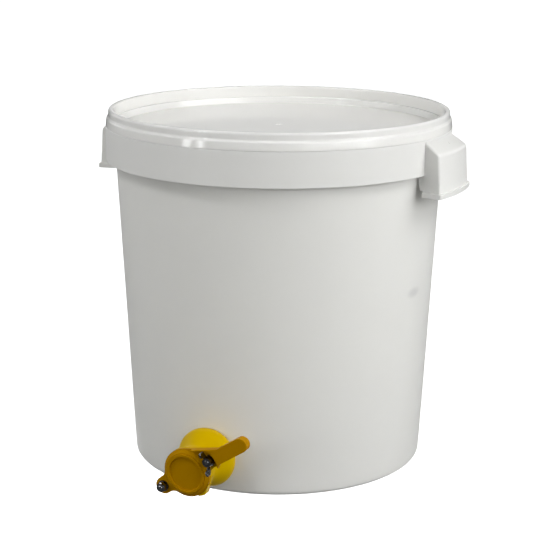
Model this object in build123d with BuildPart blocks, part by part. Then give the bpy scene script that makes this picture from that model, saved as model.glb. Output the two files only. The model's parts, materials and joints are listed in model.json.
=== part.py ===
from build123d import *

import os
from math import copysign, cos, degrees, hypot, radians, sin, sqrt, tan

# Honey settling tank with a clip-on lid and a swing-gate valve, in millimetres
# +Z is up and the origin is the centre of the base, on the surface that the tank stands on
# The valve faces -Y and the two carrying ears are on the X axis

# Tank wall and base
WALL_FOOT_RADIUS = 169.5
WALL_DRAFT = 2.88
WALL = 2.4
BASE = 2.6
FOOT_RECESS = 2.0
FOOT_RING_INSIDE = 150.0
CORNER_OUTSIDE = 5.0
CORNER_INSIDE = 4.0

# Skirt ring, which stands out from the wall and is hollow underneath
RING_RADIUS = 198.0
RING_TOP = 388.5
RING_BOTTOM = 349.8
RING_WALL = 2.4
RING_EDGE = 0.8
RIB_COUNT = 24
RIB = 1.8
RIB_BOTTOM = 353.0
RIB_ANCHOR = 0.6

# Rim above the ring, which the lid's channel clips over
RIM_INSIDE = 191.1
RIM_OUTSIDE = 192.9
RIM_TOP = 405.4
SHOULDER = 2.4
BEAD_RADIUS = 194.4
BEAD_MIDDLE = 395.8
BEAD_HALF_HEIGHT = 2.4

# Carrying ears, hollow and open below
EAR_HALF_ANGLE = 12.0
EAR_TOP_RADIUS = 216.0
EAR_BOTTOM_RADIUS = 219.0
EAR_ROOF_ROOT = 386.5
EAR_ROOF_EDGE = 374.0
EAR_BOTTOM = 326.5
EAR_WALL = 2.4
EAR_LIP = 2.0
EAR_LIP_HEIGHT = 5.5
EAR_ROUND = 6.0
EAR_SIDE_ROUND = 2.6
EAR_ANCHOR_RADIUS = 196.5
EAR_POCKET_RADIUS = 193.2
EAR_WEB = 1.5
EAR_WEB_SINK = 0.9
EAR_WEB_FOOT = (192.4, 333.0)
EAR_WEB_BEND = (190.3, 343.0)
EAR_WEB_REACH = 198.6
DIMPLE_RADIUS = 1.25
DIMPLE_DEPTH = 0.9
DIMPLE_PLACE = 206.0

# Lid
LID = 1.6
LID_GAP = 0.4
LID_TOP = 407.4
LID_SKIRT_RADIUS = 198.0
LID_CREASE_RADIUS = 197.0
LID_CREASE = 397.6
LID_CROWN_RADIUS = 194.8
LID_CROWN_FOOT = 399.2
LID_WELL_RADIUS = 189.2
LID_LEDGE = 393.7
LID_LEDGE_INSIDE = 186.2
LID_PANEL = 386.7
LID_PANEL_RADIUS = 183.0
LID_CLIP_RADIUS = 194.9
LID_CLIP = 391.0
LID_CROWN_ROUND = 2.6
LID_CREASE_ROUND = 2.5
LID_EDGE = 0.8
LID_MARK_RADIUS = 4.0
LID_MARK_DEPTH = 0.4
LID_PIP_RADIUS = 0.9

# Honey valve, measured along its axis from the outside of the wall
VALVE_HEIGHT = 42.5
BORE_RADIUS = 19.0
TAIL_RADIUS = 23.9
TAIL_HOLE_RADIUS = 24.3
TAIL_HOLE_DEPTH = 10.0
TAIL_END = -25.0
BELL_FOOT_RADIUS = 29.6
BELL_FOOT = -4.0
BELL_RADIUS = 33.4
BELL_WIDEST = 5.0
BELL_SHOULDER = (32.9, 12.0)
BELL_SLOPE = (28.6, 20.0)
NECK_RADIUS = 23.0
NECK_START = 32.0
SADDLE_GAP = 0.4
SADDLE_DEPTH = 12.0
SEAL_POCKET_RADIUS = 28.0
SEAL_POCKET_FLOOR = 2.0
PLATE_RADIUS = 27.3
PLATE_BACK = 45.5
PLATE_FRONT = 49.0
PLATE_EDGE = 0.8

# Gate line: the pivot, the clamp and the lever lie on one line across the valve
GATE_ANGLE = 34.5
PIVOT_REACH = 35.5
EAR_RADIUS = 9.5
EAR_BLEND = 10.0

# Stop lug below the gate on the valve's plate
STOP_ANGLE = -84.5
STOP_WIDTH = 6.0
STOP_INSIDE = 27.7
STOP_OUTSIDE = 29.5
STOP_FRONT = 54.0
STOP_EDGE = 0.8

# Seals and back nut
SEAL_PLAY = 0.02
SEAL_OUTSIDE = 27.7
INNER_SEAL_RADIUS = 32.0
NUT_FACE = -8.2
NUT_COLLAR_RADIUS = 33.0
NUT_COLLAR = 3.0
NUT_FLATS = 58.0
NUT_HEIGHT = 11.0
NUT_BORE_RADIUS = 23.96
O_RING_RADIUS = 21.6
O_RING_WIRE = 1.0
O_RING_PROUD = 0.2
O_RING_GROOVE_PLAY = 0.1

# Gate
GATE_BACK = 49.3
GATE_PLATE_FRONT = 53.0
SHOULDER_RADIUS = 23.6
SHOULDER_FRONT = 55.6
GATE_RING_OUTSIDE = 22.4
GATE_RING_INSIDE = 19.3
GATE_RING_FRONT = 57.2
GATE_RECESS_FLOOR = 54.8
GATE_LAND = 0.6
GATE_RING_EDGE = 0.7
WEB_WALL = 2.4
WEB_START = 23.0
LEVER_ANGLE = 33.5
LEVER_BACK = 48.2
LEVER_FRONT = 57.0
LEVER_WIDTH = 15.7
LEVER_ROOT = 50.0
LEVER_END = 88.5
LEVER_EDGE = 0.5
LEVER_FLARE = 48.0
LEVER_FLARE_RADIUS = 15.0
CLAMP_POCKET = 14.4
CLAMP_POCKET_CORNER = (34.0, 5.5)
CLAMP_SLOT = 6.8
CLAMP_SLOT_SWEEP = 30.0

# M6 fasteners
BOLT_RADIUS = 3.0
RUNNING_PLAY = 0.05
BOLT_HEAD_FLATS = 10.0
BOLT_HEAD = 4.0
HEAD_SINK = 1.2
HEAD_PLAY = 0.1
HEX_SIDES = 6
HEX_CHAMFER_RADIUS = 4.8
HEX_CHAMFER_RISE = 2.4
BOLT_POINT = 0.7
BOLT_END = 61.8
WASHER = 1.6
WASHER_RADIUS = 6.2
WASHER_PLAY = 0.2
STACK_GAP = 0.1
LOCK_NUT_HEX = 5.0
LOCK_NUT_NECK = 1.2
LOCK_NUT_NECK_RADIUS = 4.6
COLLAR_RADIUS = 4.1
COLLAR_HEIGHT = 1.4
COLLAR_PLAY = 0.02

# Wing nut
WING_NUT_BASE_RADIUS = 6.0
WING_NUT_TOP_RADIUS = 5.0
WING_NUT_HEIGHT = 6.6
WING_ANGLE = -105.5
WING_THICKNESS = 2.2
WING_EDGE = 0.5
WING_FOOT = 3.3
WING_REACH = 13.4
WING_TOP = 14.2
WING_TOP_WIDTH = 4.8
WING_ROUND = 2.4
WING_HEEL_ROUND = 1.2


def wall_radius(height):
    """Radius of the outside of the tank's wall at a height."""
    return WALL_FOOT_RADIUS + height * tan(radians(WALL_DRAFT))


def radial_plane(angle):
    """Plane through the tank's axis at an angle from +X, with x along the radius and y up."""
    turn = radians(angle)
    return Plane(origin=(0, 0, 0), x_dir=(cos(turn), sin(turn), 0), z_dir=(sin(turn), -cos(turn), 0))


def turned(plane, angle, x=0):
    """Plane turned about its own normal, with its origin moved along the turned x direction."""
    x_dir = plane.x_dir * cos(radians(angle)) + plane.y_dir * sin(radians(angle))
    return Plane(origin=plane.origin + x_dir * x, x_dir=x_dir, z_dir=plane.z_dir)


def upright(plane):
    """Plane square to another one, with the same x direction and y along the other one's normal."""
    return Plane(origin=plane.origin, x_dir=plane.x_dir, z_dir=-plane.y_dir)


def wall_cone(offset):
    """Solid cone of the wall's outside, moved out by an offset, for cutting pieces to the wall."""
    slant = offset / cos(radians(WALL_DRAFT))
    foot = wall_radius(0) + slant
    top = wall_radius(RING_BOTTOM) + slant
    standing = (Align.CENTER, Align.CENTER, Align.MIN)
    return Cone(foot, top, RING_BOTTOM, align=standing, mode=Mode.PRIVATE)


# Valve frame: square to the leaning wall, with the section plane's x along the radius and y along the axis
tilt = radians(WALL_DRAFT)
valve_point = Vector(0, -wall_radius(VALVE_HEIGHT), VALVE_HEIGHT)
valve_direction = Vector(0, -cos(tilt), -sin(tilt))
valve_axis = Axis(valve_point, valve_direction)
valve_plane = Plane(origin=valve_point, x_dir=(1, 0, 0), z_dir=valve_direction)
section_plane = upright(valve_plane)
gate_plane = turned(valve_plane, GATE_ANGLE)
lever_plane = turned(valve_plane, LEVER_ANGLE)
pivot_plane = turned(gate_plane, 0, -PIVOT_REACH)
clamp_plane = turned(gate_plane, 0, PIVOT_REACH)

os.makedirs("parts", exist_ok=True)

# Tank
WEB_BOTTOM = RING_TOP - RING_WALL
FLOOR = FOOT_RECESS + BASE
with BuildPart() as tank:
    with BuildSketch(Plane.XZ) as tank_section:
        with BuildLine():
            Polyline(
                (0, FOOT_RECESS),
                (FOOT_RING_INSIDE, FOOT_RECESS),
                (FOOT_RING_INSIDE, 0),
                (wall_radius(0), 0),
                (wall_radius(WEB_BOTTOM), WEB_BOTTOM),
                (RING_RADIUS - RING_WALL, WEB_BOTTOM),
                (RING_RADIUS - RING_WALL, RING_BOTTOM),
                (RING_RADIUS, RING_BOTTOM),
                (RING_RADIUS, RING_TOP),
                (RIM_OUTSIDE, RING_TOP),
                (RIM_OUTSIDE, BEAD_MIDDLE - BEAD_HALF_HEIGHT),
                (BEAD_RADIUS, BEAD_MIDDLE),
                (RIM_OUTSIDE, BEAD_MIDDLE + BEAD_HALF_HEIGHT),
                (RIM_OUTSIDE, RIM_TOP),
                (RIM_INSIDE, RIM_TOP),
                (RIM_INSIDE, RING_TOP),
                (wall_radius(RING_TOP - SHOULDER) - WALL, RING_TOP - SHOULDER),
                (wall_radius(FLOOR) - WALL, FLOOR),
                (0, FLOOR),
                close=True,
            )
        make_face()
        foot_corner = tank_section.vertices().sort_by_distance((wall_radius(0), 0))[0]
        fillet(foot_corner, CORNER_OUTSIDE)
        floor_corner = tank_section.vertices().sort_by_distance((wall_radius(FLOOR) - WALL, FLOOR))[0]
        fillet(floor_corner, CORNER_INSIDE)
        ring_corners = tank_section.vertices().group_by(Axis.X)[-1]
        fillet(ring_corners, RING_EDGE)
        fillet(tank_section.vertices().group_by(Axis.Y)[-1], RING_EDGE)
    revolve(axis=Axis.Z)

    # Stiffening ribs between the wall and the skirt, left out behind the ears
    rib_angles = [360 / RIB_COUNT * n for n in range(RIB_COUNT)]
    rib_angles = [a for a in rib_angles if abs(sin(radians(a))) > sin(radians(EAR_HALF_ANGLE))]
    rib_root = wall_radius(RIB_BOTTOM) - RIB_ANCHOR
    for angle in rib_angles:
        with BuildSketch(radial_plane(angle)):
            with Locations((rib_root, RIB_BOTTOM)):
                Rectangle(
                    RING_RADIUS - RING_WALL / 2 - rib_root,
                    WEB_BOTTOM + RING_WALL / 2 - RIB_BOTTOM,
                    align=(Align.MIN, Align.MIN),
                )
        extrude(amount=RIB / 2, both=True)

    # Ears: a drafted face, a sloping roof and rounded sides, with a lip round the bottom edge
    roof_slope = (EAR_ROOF_ROOT - EAR_ROOF_EDGE) / (EAR_TOP_RADIUS - RING_RADIUS)
    lip_angle = degrees(EAR_LIP / EAR_BOTTOM_RADIUS)
    for side in (0, 180):
        with BuildSketch(radial_plane(side - EAR_HALF_ANGLE)) as ear_section:
            with BuildLine():
                Polyline(
                    (EAR_ANCHOR_RADIUS, EAR_BOTTOM),
                    (EAR_BOTTOM_RADIUS, EAR_BOTTOM),
                    (EAR_TOP_RADIUS, EAR_ROOF_EDGE),
                    (EAR_ANCHOR_RADIUS, EAR_ROOF_ROOT + (RING_RADIUS - EAR_ANCHOR_RADIUS) * roof_slope),
                    close=True,
                )
            make_face()
            fillet(ear_section.vertices().sort_by_distance((EAR_TOP_RADIUS, EAR_ROOF_EDGE))[0], EAR_ROUND)
        ear = revolve(axis=Axis.Z, revolution_arc=2 * EAR_HALF_ANGLE, mode=Mode.PRIVATE)
        ear_sides = ear.faces().filter_by(GeomType.PLANE).filter_by(Plane.XY, reverse=True)
        side_edges = ear_sides.edges().filter_by(lambda e: e.center().Z > EAR_BOTTOM + EAR_LIP_HEIGHT)
        side_edges = side_edges.filter_by(lambda e: hypot(e.center().X, e.center().Y) > RING_RADIUS)
        add(ear.fillet(EAR_SIDE_ROUND, side_edges))
        with BuildSketch(radial_plane(side - EAR_HALF_ANGLE - lip_angle)):
            with Locations((EAR_ANCHOR_RADIUS, EAR_BOTTOM)):
                Rectangle(
                    EAR_BOTTOM_RADIUS + EAR_LIP - EAR_ANCHOR_RADIUS,
                    EAR_LIP_HEIGHT,
                    align=(Align.MIN, Align.MIN),
                )
        revolve(axis=Axis.Z, revolution_arc=2 * (EAR_HALF_ANGLE + lip_angle))

    # Finger pockets, which open below and run in to the wall through the skirt
    pocket_angle = EAR_HALF_ANGLE - degrees(EAR_WALL / EAR_TOP_RADIUS)
    roof_drop = EAR_WALL * sqrt(1 + roof_slope**2)
    pocket_top_radius = EAR_TOP_RADIUS - EAR_WALL
    for side in (0, 180):
        with BuildSketch(radial_plane(side - pocket_angle)):
            with BuildLine():
                Polyline(
                    (EAR_POCKET_RADIUS, EAR_BOTTOM),
                    (EAR_BOTTOM_RADIUS - EAR_WALL, EAR_BOTTOM),
                    (pocket_top_radius, EAR_ROOF_ROOT - roof_drop - (pocket_top_radius - RING_RADIUS) * roof_slope),
                    (RING_RADIUS, EAR_ROOF_ROOT - roof_drop),
                    (EAR_POCKET_RADIUS, EAR_ROOF_ROOT - roof_drop),
                    close=True,
                )
            make_face()
        revolve(axis=Axis.Z, revolution_arc=2 * pocket_angle, mode=Mode.SUBTRACT)

    # Webs that carry the ears' sides on inwards under the ring, set back from them
    web_angle = EAR_HALF_ANGLE - degrees((EAR_WEB_SINK + EAR_WEB / 2) / RING_RADIUS)
    web_top = WEB_BOTTOM + RING_WALL / 2
    for angle in (web_angle, -web_angle, 180 + web_angle, 180 - web_angle):
        with BuildSketch(radial_plane(angle)):
            with BuildLine():
                Polyline(
                    EAR_WEB_FOOT,
                    (EAR_WEB_REACH, EAR_WEB_FOOT[1]),
                    (EAR_WEB_REACH, web_top),
                    (EAR_WEB_BEND[0], web_top),
                    EAR_WEB_BEND,
                    close=True,
                )
            make_face()
        extrude(amount=EAR_WEB / 2, both=True)

    # Moulding dimple on each ear's roof
    dimple_top = EAR_ROOF_ROOT - (DIMPLE_PLACE - RING_RADIUS) * roof_slope
    for side in (1, -1):
        roof_point = Plane(origin=(side * DIMPLE_PLACE, 0, dimple_top), z_dir=(side * roof_slope, 0, 1))
        with BuildSketch(roof_point):
            Circle(DIMPLE_RADIUS)
        extrude(amount=DIMPLE_DEPTH, both=True, mode=Mode.SUBTRACT)

    # Hole for the valve's tail
    with BuildSketch(valve_plane):
        Circle(TAIL_HOLE_RADIUS)
    extrude(amount=TAIL_HOLE_DEPTH, both=True, mode=Mode.SUBTRACT)

# Lid
with BuildPart() as lid:
    with BuildSketch(Plane.XZ) as lid_section:
        with BuildLine():
            Polyline(
                (LID_SKIRT_RADIUS, RING_TOP + LID_GAP),
                (LID_CREASE_RADIUS, LID_CREASE),
                (LID_CROWN_RADIUS, LID_CROWN_FOOT),
                (LID_CROWN_RADIUS, LID_TOP),
                (LID_WELL_RADIUS, LID_TOP),
                (LID_WELL_RADIUS, LID_LEDGE),
                (LID_LEDGE_INSIDE, LID_LEDGE),
                (LID_PANEL_RADIUS, LID_PANEL),
                (0, LID_PANEL),
                (0, LID_PANEL - LID),
                (LID_PANEL_RADIUS + LID_EDGE, LID_PANEL - LID),
                (LID_LEDGE_INSIDE + LID_EDGE, LID_LEDGE - LID),
                (LID_WELL_RADIUS + LID, LID_LEDGE - LID),
                (LID_WELL_RADIUS + LID, LID_TOP - LID),
                (LID_CROWN_RADIUS - LID, LID_TOP - LID),
                (LID_CROWN_RADIUS - LID, LID_CROWN_FOOT - LID_EDGE),
                (LID_CREASE_RADIUS - LID, LID_CREASE - LID_EDGE),
                (LID_CREASE_RADIUS - LID, LID_CLIP + LID),
                (LID_CLIP_RADIUS, LID_CLIP),
                (LID_SKIRT_RADIUS - LID, RING_TOP + LID_GAP),
                close=True,
            )
        make_face()
        fillet(lid_section.vertices().group_by(Axis.Y)[-1], LID_CROWN_ROUND)
        for corner, radius in (
            ((LID_CROWN_RADIUS - LID, LID_TOP - LID), LID_CROWN_ROUND - LID),
            ((LID_WELL_RADIUS + LID, LID_TOP - LID), LID_CROWN_ROUND - LID),
            ((LID_WELL_RADIUS, LID_LEDGE), LID_EDGE),
            ((LID_LEDGE_INSIDE, LID_LEDGE), LID_EDGE),
            ((LID_PANEL_RADIUS, LID_PANEL), LID_EDGE),
            ((LID_CREASE_RADIUS, LID_CREASE), LID_CREASE_ROUND),
            ((LID_CROWN_RADIUS, LID_CROWN_FOOT), LID_CREASE_ROUND),
        ):
            fillet(lid_section.vertices().sort_by_distance(corner)[0], radius)
    revolve(axis=Axis.Z)

    # Moulding mark at the middle of the panel: a shallow dish with a pip
    with BuildSketch(Plane.XY.offset(LID_PANEL)):
        Circle(LID_MARK_RADIUS)
        Circle(LID_PIP_RADIUS, mode=Mode.SUBTRACT)
    extrude(amount=-LID_MARK_DEPTH, mode=Mode.SUBTRACT)


def plate_outline(reach):
    """Disc of the valve's front with a round ear at a reach along the gate line, blended into it."""
    root = copysign(sqrt(PLATE_RADIUS**2 - EAR_RADIUS**2), reach)
    with BuildSketch(mode=Mode.PRIVATE) as outline:
        Circle(PLATE_RADIUS)
        with Locations((reach / 2, 0)):
            SlotCenterToCenter(abs(reach), 2 * EAR_RADIUS)
        for side in (EAR_RADIUS, -EAR_RADIUS):
            fillet(outline.vertices().sort_by_distance((root, side))[0], EAR_BLEND)
    return outline.sketch


# Valve body
with BuildPart() as valve_body:
    with BuildSketch(gate_plane.offset(PLATE_BACK)):
        add(plate_outline(-PIVOT_REACH))
        add(plate_outline(PIVOT_REACH))
    extrude(amount=PLATE_FRONT - PLATE_BACK)
    plate_faces = valve_body.faces().sort_by(valve_axis)
    fillet(plate_faces[0].edges() + plate_faces[-1].edges(), PLATE_EDGE)

    # Bell and tail, turned about the valve's axis
    with BuildSketch(section_plane):
        with BuildLine():
            Spline(
                (BELL_FOOT_RADIUS, BELL_FOOT),
                (BELL_RADIUS, BELL_WIDEST),
                BELL_SHOULDER,
                BELL_SLOPE,
                (NECK_RADIUS, NECK_START),
                tangents=((BELL_RADIUS - BELL_FOOT_RADIUS, BELL_WIDEST - BELL_FOOT), (0, 1)),
            )
            Polyline(
                (NECK_RADIUS, NECK_START),
                (NECK_RADIUS, PLATE_BACK + PLATE_EDGE),
                (BORE_RADIUS, PLATE_BACK + PLATE_EDGE),
                (BORE_RADIUS, TAIL_END),
                (TAIL_RADIUS, TAIL_END),
                (TAIL_RADIUS, BELL_FOOT),
                (BELL_FOOT_RADIUS, BELL_FOOT),
            )
        make_face()
    revolve(axis=valve_axis)

    # Stop lug at the lower edge of the plate
    stop_plane = turned(gate_plane, STOP_ANGLE)
    with BuildSketch(stop_plane.offset(PLATE_BACK)):
        with Locations((BORE_RADIUS, 0)):
            Rectangle(STOP_OUTSIDE - BORE_RADIUS, STOP_WIDTH, align=(Align.MIN, Align.CENTER))
    extrude(amount=PLATE_FRONT - PLATE_BACK)
    with BuildSketch(stop_plane.offset(PLATE_FRONT)):
        with Locations((STOP_INSIDE, 0)):
            Rectangle(STOP_OUTSIDE - STOP_INSIDE, STOP_WIDTH, align=(Align.MIN, Align.CENTER))
    extrude(amount=STOP_FRONT - PLATE_FRONT)
    fillet(valve_body.faces().sort_by(valve_axis)[-1].edges(), STOP_EDGE)

    # Bore, seal pocket behind the bell, and the bell's rim cut to the wall
    with BuildSketch(valve_plane.offset(TAIL_END)):
        Circle(BORE_RADIUS)
    extrude(amount=PLATE_FRONT - TAIL_END, mode=Mode.SUBTRACT)
    with BuildSketch(valve_plane.offset(SEAL_POCKET_FLOOR)):
        Circle(SEAL_POCKET_RADIUS)
        Circle(TAIL_RADIUS, mode=Mode.SUBTRACT)
    extrude(amount=-SADDLE_DEPTH, mode=Mode.SUBTRACT)
    with BuildSketch(valve_plane.offset(SEAL_POCKET_FLOOR)):
        Circle(BELL_RADIUS)
        Circle(TAIL_RADIUS, mode=Mode.SUBTRACT)
    saddle = extrude(amount=-SADDLE_DEPTH, mode=Mode.PRIVATE) & wall_cone(SADDLE_GAP)
    add(saddle, mode=Mode.SUBTRACT)

    # Groove for the O-ring, bolt holes and the pockets that hold the bolts' heads
    with BuildSketch(valve_plane.offset(PLATE_FRONT)):
        Circle(O_RING_RADIUS + O_RING_WIRE + O_RING_GROOVE_PLAY)
        Circle(O_RING_RADIUS - O_RING_WIRE - O_RING_GROOVE_PLAY, mode=Mode.SUBTRACT)
    extrude(amount=-(2 * O_RING_WIRE - O_RING_PROUD + O_RING_GROOVE_PLAY), mode=Mode.SUBTRACT)
    for ear_plane in (pivot_plane, clamp_plane):
        with BuildSketch(ear_plane.offset(PLATE_BACK)):
            Circle(BOLT_RADIUS + RUNNING_PLAY)
        extrude(amount=PLATE_FRONT - PLATE_BACK, mode=Mode.SUBTRACT)
        with BuildSketch(ear_plane.offset(PLATE_BACK)):
            RegularPolygon(BOLT_HEAD_FLATS / 2 + HEAD_PLAY, HEX_SIDES, major_radius=False)
        extrude(amount=HEAD_SINK, mode=Mode.SUBTRACT)

# Seals on each side of the wall, cut to its curve
with BuildPart() as outer_seal:
    with BuildSketch(valve_plane.offset(SEAL_POCKET_FLOOR)):
        Circle(SEAL_OUTSIDE)
        Circle(TAIL_HOLE_RADIUS, mode=Mode.SUBTRACT)
    extrude(amount=-SADDLE_DEPTH)
    add(wall_cone(SEAL_PLAY), mode=Mode.SUBTRACT)

with BuildPart() as inner_seal:
    with BuildSketch(valve_plane.offset(NUT_FACE)):
        Circle(INNER_SEAL_RADIUS)
        Circle(TAIL_HOLE_RADIUS, mode=Mode.SUBTRACT)
    extrude(amount=SADDLE_DEPTH)
    add(wall_cone(-WALL - SEAL_PLAY), mode=Mode.INTERSECT)

# Back nut on the valve's tail
with BuildPart() as back_nut:
    with BuildSketch(valve_plane.offset(NUT_FACE)):
        Circle(NUT_COLLAR_RADIUS)
    extrude(amount=-NUT_COLLAR)
    with BuildSketch(gate_plane.offset(NUT_FACE)):
        RegularPolygon(NUT_FLATS / 2, HEX_SIDES, major_radius=False)
    extrude(amount=-NUT_HEIGHT)
    with BuildSketch(valve_plane.offset(NUT_FACE)):
        Circle(NUT_BORE_RADIUS)
    extrude(amount=-NUT_HEIGHT, mode=Mode.SUBTRACT)

# O-ring behind the gate
with BuildPart() as gate_seal:
    with BuildSketch(section_plane):
        with Locations((O_RING_RADIUS, PLATE_FRONT + O_RING_PROUD - O_RING_WIRE)):
            Circle(O_RING_WIRE)
    revolve(axis=valve_axis)

# Outlines in the gate's plane: the lever's root, and the pocket round the clamp, which opens at the lower edge
lever_turn = radians(LEVER_ANGLE - GATE_ANGLE)
lever_root = (LEVER_ROOT * cos(lever_turn), LEVER_ROOT * sin(lever_turn))
flare_drop = LEVER_WIDTH / 2 + LEVER_FLARE_RADIUS
flare_middle = (
    LEVER_FLARE * cos(lever_turn) + flare_drop * sin(lever_turn),
    LEVER_FLARE * sin(lever_turn) - flare_drop * cos(lever_turn),
)
lever_middle = (LEVER_ROOT + LEVER_END - LEVER_WIDTH / 2) / 2
lever_run = LEVER_END - LEVER_WIDTH / 2 - LEVER_ROOT
clamp_arc = CenterArc((-PIVOT_REACH, 0), 2 * PIVOT_REACH, 0, -CLAMP_SLOT_SWEEP)
with BuildSketch() as clamp_pocket:
    Circle(PLATE_RADIUS - WEB_WALL)
    with Locations((PIVOT_REACH, 0), CLAMP_POCKET_CORNER):
        Circle(CLAMP_POCKET / 2)
    make_hull()
    SlotArc(clamp_arc, CLAMP_POCKET)
    Rectangle(PIVOT_REACH, PLATE_RADIUS, align=(Align.MIN, Align.MAX))

# Outline of the disc and the arm that widens out of it to the lever, with a hollow flare below
with BuildSketch() as arm:
    Circle(PLATE_RADIUS)
    with Locations(lever_root):
        Circle(LEVER_WIDTH / 2)
    make_hull()
    with Locations(flare_middle):
        Circle(LEVER_FLARE_RADIUS, mode=Mode.SUBTRACT)
        Rectangle(
            LEVER_FLARE_RADIUS,
            LEVER_FLARE_RADIUS,
            align=(Align.MIN, Align.MIN),
            rotation=degrees(lever_turn),
            mode=Mode.SUBTRACT,
        )
    with Locations((0, -CLAMP_POCKET / 2)):
        Rectangle(PIVOT_REACH, PLATE_RADIUS, align=(Align.MIN, Align.MAX), mode=Mode.SUBTRACT)
    Circle(PLATE_RADIUS)

# Gate with its pivot ear, clamp slot and lever
with BuildPart() as gate:
    with BuildSketch(gate_plane.offset(GATE_BACK)):
        add(arm.sketch)
        add(plate_outline(-PIVOT_REACH))
    extrude(amount=GATE_PLATE_FRONT - GATE_BACK)

    # Raised web round the clamp pocket, and the lever
    with BuildSketch(gate_plane.offset(GATE_PLATE_FRONT)):
        add(arm.sketch)
        with Locations((WEB_START, 0)):
            Rectangle(2 * PLATE_RADIUS, 2 * PLATE_RADIUS, align=(Align.MAX, Align.CENTER), mode=Mode.SUBTRACT)
    extrude(amount=LEVER_FRONT - GATE_PLATE_FRONT)
    with BuildSketch(lever_plane.offset(GATE_BACK)):
        with Locations((lever_middle, 0)):
            SlotCenterToCenter(lever_run, LEVER_WIDTH)
    extrude(amount=LEVER_FRONT - GATE_BACK)
    with BuildSketch(gate_plane.offset(GATE_PLATE_FRONT)):
        add(clamp_pocket.sketch)
    extrude(amount=LEVER_FRONT - GATE_PLATE_FRONT, mode=Mode.SUBTRACT)
    fillet(gate.faces().sort_by(valve_axis)[-1].edges(), LEVER_EDGE)

    # Heel that thickens the lever behind, clear of the valve's clamp ear
    with BuildSketch(lever_plane.offset(LEVER_BACK)):
        with Locations((lever_middle, 0)):
            SlotCenterToCenter(lever_run, LEVER_WIDTH)
        with Locations((LEVER_ROOT, 0)):
            Rectangle(LEVER_WIDTH, LEVER_WIDTH, align=(Align.MAX, Align.CENTER), mode=Mode.SUBTRACT)
    extrude(amount=GATE_BACK - LEVER_BACK)

    # Disc with a sloping shoulder, a raised ring and a flat recess
    with BuildSketch(section_plane) as disc_section:
        with BuildLine():
            Polyline(
                (0, GATE_BACK),
                (PLATE_RADIUS - GATE_LAND, GATE_BACK),
                (PLATE_RADIUS - GATE_LAND, GATE_PLATE_FRONT),
                (SHOULDER_RADIUS, SHOULDER_FRONT),
                (GATE_RING_OUTSIDE, SHOULDER_FRONT),
                (GATE_RING_OUTSIDE, GATE_RING_FRONT),
                (GATE_RING_INSIDE, GATE_RING_FRONT),
                (GATE_RING_INSIDE, GATE_RECESS_FLOOR),
                (0, GATE_RECESS_FLOOR),
                close=True,
            )
        make_face()
        fillet(disc_section.vertices().group_by(Axis.Y)[-1], GATE_RING_EDGE)
        for corner in ((SHOULDER_RADIUS, SHOULDER_FRONT), (GATE_RING_INSIDE, GATE_RECESS_FLOOR)):
            fillet(disc_section.vertices().sort_by_distance(corner)[0], GATE_RING_EDGE)
    revolve(axis=valve_axis)

    # Clamp slot, along the arc that the clamp bolt follows about the pivot, and the pivot hole
    with BuildSketch(gate_plane.offset(GATE_BACK)):
        SlotArc(clamp_arc, CLAMP_SLOT)
        with Locations((-PIVOT_REACH, 0)):
            Circle(BOLT_RADIUS + RUNNING_PLAY)
    extrude(amount=LEVER_FRONT - GATE_BACK, mode=Mode.SUBTRACT)

# Bolts, alike on the pivot and the clamp
bolts = {}
for bolt_name, bolt_plane in (("pivot_bolt", pivot_plane), ("clamp_bolt", clamp_plane)):
    with BuildPart() as bolt:
        with BuildSketch(bolt_plane.offset(PLATE_BACK + HEAD_SINK)):
            RegularPolygon(BOLT_HEAD_FLATS / 2, HEX_SIDES, major_radius=False)
        extrude(amount=-BOLT_HEAD)
        with BuildSketch(bolt_plane.offset(PLATE_BACK)):
            Circle(BOLT_RADIUS)
        extrude(amount=BOLT_END - PLATE_BACK)
        chamfer(bolt.edges().sort_by(valve_axis)[-1], BOLT_POINT)
    bolts[bolt_name] = bolt

# Pivot washer, lock nut and its nylon collar
washer_back = GATE_PLATE_FRONT + STACK_GAP
with BuildPart() as pivot_washer:
    with BuildSketch(pivot_plane.offset(washer_back)):
        Circle(WASHER_RADIUS)
        Circle(BOLT_RADIUS + WASHER_PLAY, mode=Mode.SUBTRACT)
    extrude(amount=WASHER)

nut_back = washer_back + WASHER
nut_front = nut_back + LOCK_NUT_HEX + LOCK_NUT_NECK
with BuildPart() as pivot_nut:
    with BuildSketch(pivot_plane.offset(nut_back)):
        RegularPolygon(BOLT_HEAD_FLATS / 2, HEX_SIDES, major_radius=False)
    extrude(amount=LOCK_NUT_HEX)
    with BuildSketch(upright(pivot_plane)):
        with BuildLine():
            Polyline(
                (0, nut_back),
                (HEX_CHAMFER_RADIUS, nut_back),
                (BOLT_HEAD_FLATS, nut_back + HEX_CHAMFER_RISE),
                (BOLT_HEAD_FLATS, nut_back + LOCK_NUT_HEX - HEX_CHAMFER_RISE),
                (HEX_CHAMFER_RADIUS, nut_back + LOCK_NUT_HEX),
                (0, nut_back + LOCK_NUT_HEX),
                close=True,
            )
        make_face()
    revolve(axis=Axis(pivot_plane.origin, valve_direction), mode=Mode.INTERSECT)
    with BuildSketch(pivot_plane.offset(nut_back)):
        Circle(LOCK_NUT_NECK_RADIUS)
    extrude(amount=LOCK_NUT_HEX + LOCK_NUT_NECK)
    with BuildSketch(pivot_plane.offset(nut_back)):
        Circle(BOLT_RADIUS + RUNNING_PLAY)
    extrude(amount=LOCK_NUT_HEX + LOCK_NUT_NECK, mode=Mode.SUBTRACT)
    with BuildSketch(pivot_plane.offset(nut_front)):
        Circle(COLLAR_RADIUS + COLLAR_PLAY)
    extrude(amount=-COLLAR_HEIGHT, mode=Mode.SUBTRACT)

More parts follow.
